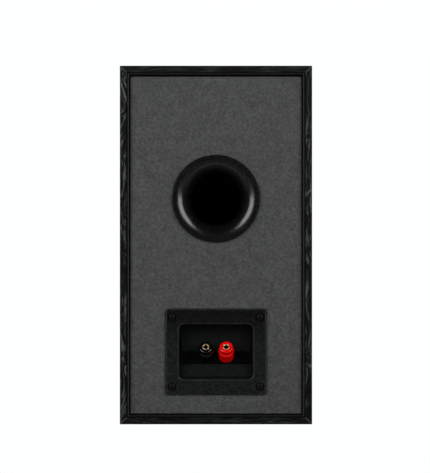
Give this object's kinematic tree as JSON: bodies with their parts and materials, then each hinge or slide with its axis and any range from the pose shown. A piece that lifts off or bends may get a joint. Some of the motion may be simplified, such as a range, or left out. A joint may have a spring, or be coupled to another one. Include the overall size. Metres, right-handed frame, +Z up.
{
  "type": "bookshelf speaker",
  "caption": "Two-way vented bookshelf loudspeaker with a wood-grain cabinet, framed rear panel, flared rear port, recessed terminal cup with red and black binding posts, and pull-off grille.",
  "frame": {"origin": "middle of the bounding box's underside, on the surface it stands on", "axes": "+Z up the cabinet's height, -Y out of the front (grille), +Y out of the rear (port and terminals), +X across the width"},
  "size_m": [0.178, 0.217, 0.332],
  "materials": {
    "cabinet_vinyl": "black wood-grain vinyl film over fibreboard, satin",
    "baffle_paint": "black satin paint over fibreboard",
    "rear_vinyl": "dark grey fine-textured vinyl over fibreboard",
    "fibreboard": "bare medium-density fibreboard",
    "wadding": "off-white polyester wadding",
    "flare_plastic": "semi-gloss black injection-moulded plastic",
    "tube_card": "black wound card tube",
    "basket_metal": "black powder-coated pressed steel",
    "foam": "black closed-cell foam",
    "trim_rubber": "matt black moulded rubber",
    "surround_rubber": "black butyl rubber, low sheen",
    "cone_paper": "black coated paper pulp",
    "spider_cloth": "resin-dipped woven cotton",
    "former_kapton": "brown coil former",
    "copper_wire": "enamelled copper winding",
    "plated_steel": "zinc-plated steel",
    "ferrite": "dark grey sintered ferrite",
    "tinned_tab": "tinned plug tabs",
    "tinsel": "braided copper tinsel",
    "fibre_board": "black fibre board",
    "faceplate_plastic": "satin black moulded plastic",
    "dome_silk": "black coated silk",
    "black_screw": "black-oxide steel",
    "circuit_board": "green solder-masked laminate",
    "bobbin_plastic": "black moulded plastic",
    "capacitor_film": "dark blue wrapped film",
    "resistor_ceramic": "off-white cement block",
    "wire_red": "red PVC insulation",
    "wire_black": "black PVC insulation",
    "cup_plastic": "fine-textured black moulded plastic",
    "gold_plate": "gold-plated brass",
    "post_red": "glossy red moulded plastic",
    "post_black": "glossy black moulded plastic",
    "grille_plastic": "black moulded frame",
    "grille_knit": "black acoustic knit",
    "socket_rubber": "black rubber"
  },
  "bodies": {
    "cabinet": {"cabinet_left": "cabinet_vinyl", "cabinet_right": "cabinet_vinyl", "cabinet_top": "cabinet_vinyl", "cabinet_bottom": "cabinet_vinyl", "front_baffle": "baffle_paint", "rear_panel": "rear_vinyl", "window_brace": "fibreboard", "damping_wadding": "wadding", "port_flare": "flare_plastic", "port_tube": "tube_card", "woofer_basket": "basket_metal", "woofer_yoke": "basket_metal", "tweeter_yoke": "basket_metal", "woofer_gasket": "foam", "tweeter_gasket": "foam", "terminal_gasket": "foam", "woofer_trim_ring": "trim_rubber", "woofer_surround": "surround_rubber", "woofer_spider": "spider_cloth", "inductor_coils": "copper_wire", "woofer_top_plate": "plated_steel", "tweeter_top_plate": "plated_steel", "crossover_screws": "plated_steel", "woofer_magnet": "ferrite", "tweeter_magnet": "ferrite", "woofer_terminals": "tinned_tab", "tweeter_terminals": "tinned_tab", "woofer_tinsel_leads": "tinsel", "terminal_boards": "fibre_board", "tweeter_faceplate": "faceplate_plastic", "driver_screws": "black_screw", "terminal_screws": "black_screw", "crossover_board": "circuit_board", "inductor_bobbins": "bobbin_plastic", "capacitors": "capacitor_film", "resistor": "resistor_ceramic", "input_lead_red": "wire_red", "woofer_lead_red": "wire_red", "tweeter_lead_red": "wire_red", "input_lead_black": "wire_black", "woofer_lead_black": "wire_black", "tweeter_lead_black": "wire_black", "terminal_cup": "cup_plastic", "post_cores": "gold_plate", "post_nuts": "gold_plate", "post_collar_red": "post_red", "post_collar_black": "post_black", "grille_sockets": "socket_rubber"},
    "woofer_moving": {"woofer_cone": "cone_paper", "woofer_dust_cap": "cone_paper", "woofer_coil_former": "former_kapton", "woofer_voice_coil": "copper_wire"},
    "tweeter_moving": {"tweeter_dome": "dome_silk", "tweeter_voice_coil": "copper_wire"},
    "washer_red": {"post_washer_red": "gold_plate"},
    "cap_red": {"post_cap_red": "post_red"},
    "washer_black": {"post_washer_black": "gold_plate"},
    "cap_black": {"post_cap_black": "post_black"},
    "grille": {"grille_frame": "grille_plastic", "grille_cloth": "grille_knit"}
  },
  "joints": [
    {"name": "woofer_stroke", "type": "slide", "parent": "cabinet", "child": "woofer_moving", "axis": [0, -1, 0], "range_m": [-0.004, 0.004], "stiffness_N_per_m": 1000, "deforming": ["woofer_surround", "woofer_spider", "woofer_tinsel_leads"]},
    {"name": "tweeter_stroke", "type": "slide", "parent": "cabinet", "child": "tweeter_moving", "axis": [0, -1, 0], "range_m": [-0.0003, 0.0003], "stiffness_N_per_m": 1500},
    {"name": "grille_pull", "type": "slide", "parent": "cabinet", "child": "grille", "axis": [0, -1, 0], "range_m": [0, 0.03]},
    {"name": "post_travel_red", "type": "slide", "parent": "cabinet", "child": "washer_red", "axis": [0, 0.809, 0.5878], "range_m": [0, 0.004]},
    {"name": "post_turn_red", "type": "hinge", "parent": "washer_red", "child": "cap_red", "pos_m": [-0.00953, 0.09409, 0.06618], "axis": [0, 0.809, 0.5878], "range_deg": [0, 1440]},
    {"name": "post_travel_black", "type": "slide", "parent": "cabinet", "child": "washer_black", "axis": [0, 0.809, 0.5878], "range_m": [0, 0.004]},
    {"name": "post_turn_black", "type": "hinge", "parent": "washer_black", "child": "cap_black", "pos_m": [0.00953, 0.09409, 0.06618], "axis": [0, 0.809, 0.5878], "range_deg": [0, 1440]}
  ],
  "couplings": [
    {"joint": "post_turn_red", "follows": "post_travel_red", "rad_per_m": 6283.2},
    {"joint": "post_turn_black", "follows": "post_travel_black", "rad_per_m": 6283.2}
  ]
}
